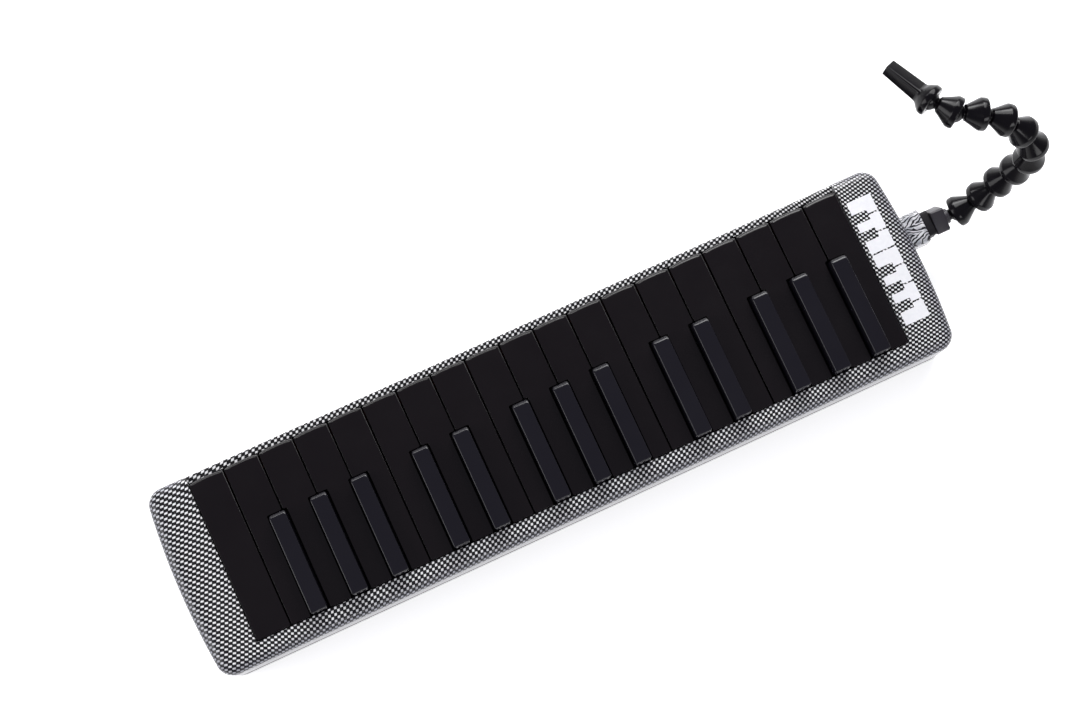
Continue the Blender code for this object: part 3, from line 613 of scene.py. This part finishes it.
def end_print():
    """A plain printed motif on the bass end: seven bars with five notches, like
    one octave of keys."""
    body = Body()
    x0, x1, y0, y1 = -189.6, -203.6, -39.6, 33.6
    pitch = (y1 - y0) / 7
    z0, z1 = CASE_H - 0.02, CASE_H + 0.05
    for k in range(7):
        a, b = y0 + k * pitch + 0.42, y0 + (k + 1) * pitch - 0.42
        # bars widen at the outer end where a notch leaves room
        low = 2.35 if k in (1, 2, 4, 5, 6) else 0.0
        high = 2.35 if k in (0, 1, 3, 4, 5) else 0.0
        cut = x0 - 8.2
        r = 0.55
        corners = [(x1, a, r)]
        corners = []
        # counter-clockwise seen from above, starting at the outer low corner
        corners.append((x1, b, r))
        corners.append((x1, a, r))
        if low:
            corners += [(cut, a, r), (cut, a + low, 0.3), (x0, a + low, r)]
        else:
            corners.append((x0, a, r))
        if high:
            corners += [(x0, b - high, r), (cut, b - high, 0.3), (cut, b, r)]
        else:
            corners.append((x0, b, r))
        pts, _ = filleted(corners, 4)
        body.loft([[(x, y, z0) for x, y in pts], [(x, y, z1) for x, y in pts]])
    body.piece("end_print", PRINT, "case", slot="case_check", angle=30)


# ---- lower shell of the case --------------------------------------------------------
def solid(rings):
    b = Body()
    b.loft(rings)
    return make("tool", b.points, b.faces, CASE_BLACK, None, angle=None)


def ring_z(inset, z):
    return [(x, y, z) for x, y in plan(inset)]


def rod_z(x, y, r, z0, z1, seg=32):
    return solid([[(x + r * math.cos(2 * math.pi * k / seg), y + r * math.sin(2 * math.pi * k / seg), z) for k in range(seg)] for z in (z0, z1)])


def lower_shell():
    top = SPLIT_Z - GAP
    cover = solid([ring_z(i, z) for i, z in ((3.9, 0.0), (3.1, 0.12), (2.45, 0.42), (1.9, 0.85), (1.4, 1.6), (1.05, 2.5), (0.9, 3.2), (0.62, 8.0), (0.52, 12.0), (0.6, 12.45), (0.95, top))])
    boolean(cover, solid([ring_z(WALL + 1.8, WALL), ring_z(WALL + 0.6, 4.6), ring_z(WALL + 0.5, top + 5)]), "DIFFERENCE")
    for x, y in SCREWS:
        boolean(cover, rod_z(x, y, 5.0, WALL - 0.8, top), "UNION")
        boolean(cover, rod_z(x, y, 3.4, -5, 6.0), "DIFFERENCE")
        boolean(cover, rod_z(x, y, 1.8, 4, top + 5), "DIFFERENCE")
    boolean(cover, rod_z(DRAIN_X, DRAIN_Y, 5.2, -5, 10), "DIFFERENCE")
    cover.name = "bottom_shell"
    cover.data.materials.clear()
    cover.data.materials.append(CASE_BLACK)
    cover.data.shade_smooth()
    cover.data.set_sharp_from_angle(angle=math.radians(32))
    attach(cover, "case")
    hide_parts("bottom_cover")


# ---- keys ------------------------------------------------------------------------------
def key_back(body, tail_x, plate_z):
    """Rib, hub and pallet under a key."""
    x0, x1 = tail_x - RIB_HALF, tail_x + RIB_HALF
    body.prism_x([(4.0, plate_z), (12.0, 38.2), (26.0, 36.8), (34.0, 36.8), (40.7, 37.4), (40.7, plate_z)], x0, x1)
    body.prism_x([(32.4, 32.2), (TAIL_Y, 32.2), (TAIL_Y, 36.6), (40.7, 37.6), (34.0, 37.2), (32.4, 36.0)], x0, x1)
    rings = []
    for r, x in ((HUB_HOLE_R, x0), (HUB_R, x0), (HUB_R, x1), (HUB_HOLE_R, x1)):
        rings.append([(x, ROD_Y + r * math.cos(2 * math.pi * k / 24), ROD_Z + r * math.sin(2 * math.pi * k / 24)) for k in range(24)])
    body.loft(rings, close=True)
    body.prism_x([(38.0, DECK_Z1 + GAP), (47.2, DECK_Z1 + GAP), (47.2, 32.8), (38.0, 32.8)], tail_x - PAD_HALF, tail_x + PAD_HALF)


def natural_key(k):
    note = NATURALS[k]
    x0, x1 = -OPEN_X + k * PITCH, -OPEN_X + (k + 1) * PITCH
    a, b = x0 + KEY_GAP / 2, x1 - KEY_GAP / 2
    half = ACC_W_BASE / 2 + ACC_CLEAR
    step_y = ACC_FRONT_Y - ACC_CLEAR
    low_acc = NATURALS[k - 1][0] in ACC_SET if k > 0 else False
    high_acc = note[0] in ACC_SET and k < N_NAT - 1
    corners = [(a, FRONT_Y + 0.62, 1.3), (a + 5.2, FRONT_Y + 0.03, 24.0), (b - 5.2, FRONT_Y + 0.03, 24.0), (b, FRONT_Y + 0.62, 1.3)]
    if high_acc:
        edge = x1 + ACC_SET[note[0]] - half
        corners += [(b, step_y, 0.8), (edge, step_y, 0.7), (edge, BACK_Y, 0.8)]
    else:
        corners += [(b, BACK_Y, 0.8)]
    if low_acc:
        edge = x0 + ACC_SET[NATURALS[k - 1][0]] + half
        corners += [(edge, BACK_Y, 0.8), (edge, step_y, 0.7), (a, step_y, 0.8)]
    else:
        corners += [(a, BACK_Y, 0.8)]
    pts, nrm = filleted(corners, 6)
    # the front lip is rounded more than the sides
    front = np.clip((FRONT_Y + 3.0 - pts[:, 1]) / 2.4, 0, 1) * np.clip(-nrm[:, 1], 0, 1)
    corner = np.clip((pts[:, 0] - a) / -1.6 + 1.0, 0, 1) * np.clip((FRONT_Y + 2.4 - pts[:, 1]) / 2.0, 0, 1)
    radius = 0.10 + 1.9 * np.maximum(front, 0.75 * corner)
    plate_z = KEY_TOP_Z - KEY_PLATE
    rings = [[(x, y, plate_z) for x, y in pts - nrm * 0.25], [(x, y, plate_z + 0.25) for x, y in pts]]
    for deg in (0, 18, 36, 54, 72, 90):
        t = math.radians(deg)
        at = pts - nrm * (radius * (1 - math.cos(t)))[:, None]
        rings.append([(x, y, KEY_TOP_Z - r * (1 - math.sin(t))) for (x, y), r in zip(at, radius)])
    rings.append([(x, y, KEY_TOP_Z) for x, y in pts - nrm * (radius + 0.3)[:, None]])
    body = Body()
    body.loft(rings)
    # front wall of the key, down behind the case's front rim
    n_front = sum(1 for p in pts if p[1] < FRONT_Y + 0.61)
    front_pts = [p for p in pts if p[1] < FRONT_Y + 1.2]
    order = sorted(front_pts, key=lambda p: p[0])
    outer = [(x, y + 0.02) for x, y in order if a + 0.5 < x < b - 0.5]
    inner = [(x, FRONT_Y + 3.0) for x, _ in outer]
    wall = outer + inner[::-1]
    wall_in = inset_polygon(np.array(wall), 0.2)
    body.loft([[(x, y, APRON_Z) for x, y in wall_in], [(x, y, APRON_Z + 0.2) for x, y in wall], [(x, y, plate_z + 0.8) for x, y in wall]])
    tail = x0 + (PITCH / 2 if k == N_NAT - 1 else TAIL_SET[note[0]])
    key_back(body, tail, plate_z + 0.8)
    name = "key_" + note
    body.piece("natural_" + note, KEY_SATIN, name, nodes=(name,), slot="key_satin", angle=30)


def accidental_key(k):
    note = NATURALS[k]
    c = -OPEN_X + (k + 1) * PITCH + ACC_SET[note[0]]
    levels = [(42.0, 4.55, -14.2, 41.1, 1.3), (42.2, 4.75, -14.4, 41.3, 1.4), (48.0, 4.64, -14.32, 41.3, 1.4), (51.6, 4.56, -14.1, 41.28, 1.35),
              (52.8, 4.53, -13.8, 41.2, 1.3), (53.4, 4.51, -13.42, 41.18, 1.25), (53.95, 4.48, -12.98, 41.12, 1.2), (54.22, 4.40, -12.6, 41.0, 1.15),
              (54.40, 4.24, -12.2, 40.84, 1.05), (54.48, 4.08, -11.8, 40.68, 0.95), (54.5, 3.92, -11.4, 40.5, 0.85), (54.5, 3.6, -11.0, 40.2, 0.7)]
    rings = []
    for z, hw, yf, yb, r in levels:
        ring = rounded_rect(2 * hw, yb - yf, r, 6)
        rings.append([(c + x, y + (yf + yb) / 2, z) for x, y in ring])
    body = Body()
    body.loft(rings)
    key_back(body, c, 43.0)
    name = "key_" + note[0] + "s" + note[1]
    body.piece("sharp_" + note[0] + "s" + note[1], KEY_GLOSS, name, nodes=(name,), slot="key_gloss", angle=40)


# ---- hose ------------------------------------------------------------------------------
def link_dirs():
    out = []
    for e, h in zip(LINK_ELEV, LINK_HEAD):
        e, h = math.radians(e), math.radians(h)
        out.append(Vector((math.cos(e) * math.cos(h), math.cos(e) * math.sin(h), math.sin(e))))
    return out


def link_joints():
    points = [Vector((HOSE_X, SPOUT_Y, SPOUT_Z))]
    for d in link_dirs()[:-1]:
        points.append(points[-1] + d * LINK_PITCH)
    return points


def axis_frame(direction):
    side = Vector((0, 0, 1)).cross(direction).normalized()
    return side, direction.cross(side).normalized()


def turned_rings(profile, joint, direction, seg=56):
    side, up = axis_frame(direction)
    return [[joint + direction * t + side * (r * math.cos(2 * math.pi * k / seg)) + up * (r * math.sin(2 * math.pi * k / seg)) for k in range(seg)] for t, r in profile]


def socket_profile():
    out = [(math.sqrt(SOCKET_R ** 2 - BORE_R ** 2), BORE_R)]
    for a in (30, 42, 54, 66, 78, 90, 102):
        a = math.radians(a)
        out.append((SOCKET_R * math.cos(a), SOCKET_R * math.sin(a)))
    out += [(-RIM_BACK + 0.2, math.sqrt(SOCKET_R ** 2 - RIM_BACK ** 2) + 0.02), (-RIM_BACK, math.sqrt(SOCKET_R ** 2 - RIM_BACK ** 2) + 0.25)]
    return out


def ball_profile(centre):
    out = [(centre - math.sqrt(BALL_R ** 2 - NECK_R ** 2), NECK_R)]
    for a in range(140, 25, -10):
        out.append((centre + BALL_R * math.cos(math.radians(a)), BALL_R * math.sin(math.radians(a))))
    return out + [(centre + math.sqrt(BALL_R ** 2 - BORE_R ** 2), BORE_R + 0.05), (centre + math.sqrt(BALL_R ** 2 - BORE_R ** 2) - 0.3, BORE_R)]


RIM_PROFILE = [(-RIM_BACK, 7.75), (-2.44, 8.02), (-2.28, 8.27), (-2.02, 8.46), (-1.7, 8.57), (-1.3, 8.6), (0.5, 8.6), (0.95, 8.52), (1.35, 8.33)]


def hose_link(i, joint, direction):
    skirt = RIM_PROFILE + [(7.9, 4.5), (8.4, 4.36), (8.7, 4.06), (8.92, 3.65), (9.12, 3.25), (9.35, NECK_R)]
    body = Body()
    body.loft(turned_rings(skirt + ball_profile(LINK_PITCH) + socket_profile(), joint, direction), close=True)
    name = "hose_link_%02d" % i
    body.piece("link_%02d" % i, HOSE, name, nodes=(name,), slot="hose_black", angle=40)


def mouthpiece(joint, direction):
    side, up = axis_frame(direction)
    c, s = math.cos(math.radians(TIP_ROLL)), math.sin(math.radians(TIP_ROLL))
    side, up = side * c + up * s, up * c - side * s
    per = 12
    total = 4 * (per + 1)

    def place(t, a, b):
        return joint + direction * t + side * a + up * b

    def round_pts(r):
        return [(r * math.cos(2 * math.pi * (k - per / 2) / total + math.pi / 4), r * math.sin(2 * math.pi * (k - per / 2) / total + math.pi / 4)) for k in range(total)]

    def flat_pts(w, h, r):
        return rounded_rect(w, h, r, per)

    def ring(t, pts):
        return [place(t, a, b) for a, b in pts]

    def blend(p, q, f):
        return [(a * (1 - f) + c2 * f, b * (1 - f) + d * f) for (a, b), (c2, d) in zip(p, q)]

    rings = [ring(t, round_pts(r)) for t, r in RIM_PROFILE[:-2] + [(0.85, 8.48), (1.2, 8.24), (3.3, 6.86)]]
    flat0, flat1 = flat_pts(9.3, 7.7, 1.7), flat_pts(7.7, 5.9, 0.75)
    for t, f, r in ((4.1, 0.22, 6.3), (4.9, 0.55, 5.9), (5.6, 0.82, 5.6), (6.2, 0.97, 5.4)):
        rings.append(ring(t, blend(round_pts(r), flat0, f)))
    rings.append(ring(7.0, blend(flat0, flat1, 0.04)))
    for f in (0.25, 0.5, 0.75, 0.97):
        rings.append(ring(7.0 + (TIP_REACH - 7.0) * f, blend(flat0, flat1, f)))
    rings.append(ring(TIP_REACH - 0.15, flat_pts(7.66, 5.86, 0.73)))
    rings.append(ring(TIP_REACH, flat_pts(7.36, 5.56, 0.6)))
    rings += [ring(TIP_REACH, flat_pts(5.1, 3.4, 0.6)), ring(TIP_REACH - 0.3, flat_pts(4.9, 3.2, 0.5)), ring(10.5, flat_pts(4.8, 3.7, 0.6))]
    rings += [ring(t, round_pts(r)) for t, r in socket_profile()]
    body = Body()
    body.loft(rings, close=True)
    body.piece("mouthpiece", HOSE, "mouthpiece_tip", nodes=("mouthpiece_tip",), slot="hose_black", angle=36)


def hose():
    joints, dirs = link_joints(), link_dirs()
    for i in range(10):
        hose_link(i + 1, joints[i], dirs[i])
    mouthpiece(joints[10], dirs[10])
    plug = Body()
    plug.loft(box_x(PLUG_X, -212.6, SPOUT_Y, SPOUT_Z, PLUG_W, PLUG_H, 1.5, 0.45, steps=5))
    plug.piece("adapter_plug", PLUG, "hose_adapter", nodes=("hose_adapter",), slot="plug_black", angle=34)
    joint, back = Vector((HOSE_X, SPOUT_Y, SPOUT_Z)), Vector((-1, 0, 0))
    block = Body()
    block.loft(box_x(BLOCK_X1, BLOCK_X0, SPOUT_Y, SPOUT_Z, BLOCK, BLOCK, 1.3, 0.7, BLOCK_TURN, steps=5))
    block.loft(turned_rings([(-23.0, 1.0), (-23.0, 3.5), (-16.0, 3.5), (-16.0, 1.0)], joint, back, 32), close=True)
    near = HOSE_X + 238.0
    neck = [(near, BORE_R), (near, 4.2)]
    for k in range(3):
        t = -9.0 + 0.8 * k
        neck += [(t, 4.2), (t + 0.16, 3.92), (t + 0.3, 3.92), (t + 0.46, 4.2)]
    neck += [(-6.85, 4.2), (-6.65, 4.08), (-6.6, 3.8), (-6.6, NECK_R)]
    block.loft(turned_rings(neck, joint, back), close=True, mat=1)
    block.loft(turned_rings([(-8.0, BORE_R), (-8.0, NECK_R)] + ball_profile(0.0), joint, back), close=True, mat=2)
    block.piece("connector_block", BLOCK_MAT, "hose_connector", nodes=("hose_connector",), slot="plug_black", angle=36, mats=[BLOCK_MAT, COLLAR, HOSE])


# ---- drain valve and screws -------------------------------------------------------------
def drain():
    body = Body()
    profile = [(0.35, 0.4), (0.3, 2.2), (0.1, 2.7), (0.0, 3.2), (0.05, 4.2), (0.25, 4.6), (0.6, 4.78), (1.2, 4.8), (2.0, 4.8), (2.2, 4.6), (2.2, 1.5), (9.3, 1.5), (9.3, 3.6), (10.6, 3.6), (11.0, 2.8)]
    body.loft([[(DRAIN_X + r * math.cos(2 * math.pi * k / 40), DRAIN_Y + r * math.sin(2 * math.pi * k / 40), 1.0 + t) for k in range(40)] for t, r in profile])
    body.piece("drain_cap", RUBBER, "drain_button", nodes=("drain_button",), slot="rubber", angle=40)


def drain_coil():
    """Spring round the drain valve's stem."""
    turns, steps, sides, r, wire = 3, 32, 12, 2.7, 0.35
    rings = []
    for i in range(turns * steps + 1):
        a = 2 * math.pi * i / steps
        out, z = Vector((math.cos(a), math.sin(a), 0)), 3.9 + 3.4 * i / (turns * steps)
        centre = Vector((DRAIN_X, DRAIN_Y, z)) + out * r
        rings.append([centre + out * (wire * math.cos(2 * math.pi * k / sides)) + Vector((0, 0, wire * math.sin(2 * math.pi * k / sides))) for k in range(sides)][::-1])
    body = Body()
    body.loft(rings)
    coil = body.piece("drain_coil", STEEL, "case", nodes=("drain_spring",), slot="steel", angle=50)
    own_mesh(coil)


def screws():
    for i, (x, y) in enumerate(SCREWS):
        body = Body()
        profile = [(0.0, 1.4), (0.08, 2.1), (0.28, 2.65), (0.6, 2.9), (1.85, 2.9), (2.0, 2.75), (2.0, 1.45)]
        t = 2.0
        while t < 15.6:
            profile += [(t + 0.25, 1.15), (t + 0.5, 1.15), (t + 0.75, 1.45), (t + 0.85, 1.45)]
            t += 1.0
        profile += [(16.2, 1.2), (17.5, 0.4)]
        body.loft([[(x + r * math.cos(2 * math.pi * k / 32), y + r * math.sin(2 * math.pi * k / 32), 3.6 + u) for k in range(32)] for u, r in profile])
        obj = make("screw_%d" % (i + 1), body.points, body.faces, STEEL, None, angle=None)
        for wide, tall in ((1.7, 0.26), (0.26, 1.7)):
            boolean(obj, solid([[(x - wide, y - tall, z), (x + wide, y - tall, z), (x + wide, y + tall, z), (x - wide, y + tall, z)] for z in (2.0, 4.6)]), "DIFFERENCE")
        obj.data.materials.clear()
        obj.data.materials.append(STEEL)
        obj.data.shade_smooth()
        obj.data.set_sharp_from_angle(angle=math.radians(30))
        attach(obj, "case")
        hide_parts("case_screw_%d" % (i + 1))


# ---- materials of the pieces kept from the frame ----------------------------------------
def finish_cad_nodes():
    for name, mat in (("key_frame", CASE_BLACK), ("key_rod", SHADE_DARK_STEEL), ("key_spring_comb", SHADE_DARK_STEEL), ("key_felt", FELT), ("reed_plate", BRASS),
                      ("chamber_gasket", RUBBER), ("chamber_cover", CASE_BLACK)):
        obj = NODES[name]
        if obj.material_slots:
            for s in obj.material_slots:
                s.material = mat
        else:
            obj.data.materials.append(mat)


# ---- stage: floor, light, camera -----------------------------------------------------------
def stage():
    SCENE.view_settings.view_transform = "Standard"
    SCENE.view_settings.look = "None"
    SCENE.view_settings.exposure = 0.0
    SCENE.view_settings.gamma = 1.0

    mesh = bpy.data.meshes.new("floor")
    n, r = 96, 12.0
    pts = [(0, 0, -0.0004)] + [(r * math.cos(2 * math.pi * k / n), r * math.sin(2 * math.pi * k / n), -0.0004) for k in range(n)]
    mesh.from_pydata(pts, [], [(0, 1 + k, 1 + (k + 1) % n) for k in range(n)])
    floor = bpy.data.objects.new("floor", mesh)
    SCENE.collection.objects.link(floor)
    s = Shader("floor", (0.92, 0.92, 0.92), 0.55, Specular_IOR_Level=0.2, Emission_Color=(1, 1, 1, 1), Emission_Strength=0.64)
    s.set("Base Color", s.mix(s.noise(3.0, 2.0), (0.915, 0.915, 0.92), (0.93, 0.93, 0.93)))
    mesh.materials.append(s.mat)

    world = bpy.data.worlds.new("studio")
    SCENE.world = world
    world.use_nodes = True
    tree = world.node_tree
    tree.nodes.clear()
    out = tree.nodes.new("ShaderNodeOutputWorld")
    back = tree.nodes.new("ShaderNodeBackground")
    coord = tree.nodes.new("ShaderNodeTexCoord")
    parts = tree.nodes.new("ShaderNodeSeparateXYZ")
    ramp = tree.nodes.new("ShaderNodeValToRGB")
    tree.links.new(coord.outputs["Generated"], parts.inputs[0])
    tree.links.new(parts.outputs[2], ramp.inputs[0])
    ramp.color_ramp.interpolation = "EASE"
    ramp.color_ramp.elements[0].position, ramp.color_ramp.elements[0].color = 0.06, (1.0, 1.0, 1.0, 1)
    ramp.color_ramp.elements[1].position, ramp.color_ramp.elements[1].color = 0.45, (0.20, 0.20, 0.235, 1)
    middle = ramp.color_ramp.elements.new(0.17)
    middle.color = (0.36, 0.36, 0.39, 1)
    tree.links.new(ramp.outputs[0], back.inputs[0])
    back.inputs[1].default_value = 1.0
    tree.links.new(back.outputs[0], out.inputs[0])

    def area(name, place, size, power, target=(0, 0, 0.02), colour=(1, 1, 1)):
        data = bpy.data.lights.new(name, "AREA")
        data.shape, data.size, data.size_y, data.energy, data.color = "RECTANGLE", size[0], size[1], power, colour
        obj = bpy.data.objects.new(name, data)
        SCENE.collection.objects.link(obj)
        obj.location = place
        obj.rotation_euler = (Vector(target) - Vector(place)).to_track_quat("-Z", "Y").to_euler()
        return obj

    area("soft_front", (-0.9, -1.35, 1.30), (1.35, 1.35), 30.0)
    area("soft_strip", (-0.25, -1.75, 1.15), (1.8, 0.42), 15.0)
    area("soft_side", (1.7, -0.3, 1.25), (1.1, 1.5), 16.0)
    area("soft_back", (-0.3, 1.9, 1.5), (1.4, 0.7), 12.0)

    data = bpy.data.cameras.new("camera")
    data.lens, data.sensor_width = 73.3333, 36.0
    data.clip_start, data.clip_end = 0.05, 60.0
    cam = bpy.data.objects.new("camera", data)
    SCENE.collection.objects.link(cam)
    right = Vector((-0.90834199, 0.41822370, 0.00193964))
    down = Vector((0.41263257, 0.89693542, -0.15887483))
    ahead = Vector((-0.06818495, -0.14351232, -0.98729683))
    turn = Matrix((right, -down, -ahead)).transposed().to_4x4()
    cam.matrix_world = Matrix.Translation(Vector((72.146, 135.020, 1185.832)) * MM) @ turn
    SCENE.camera = cam


stage()
upper_shell()
upper_shell_details()
end_print()
lower_shell()
for k in range(N_NAT):
    natural_key(k)
    if k < N_NAT - 1 and NATURALS[k][0] in ACC_SET:
        accidental_key(k)
hose()
drain()
drain_coil()
screws()
finish_cad_nodes()

bpy.context.view_layer.update()
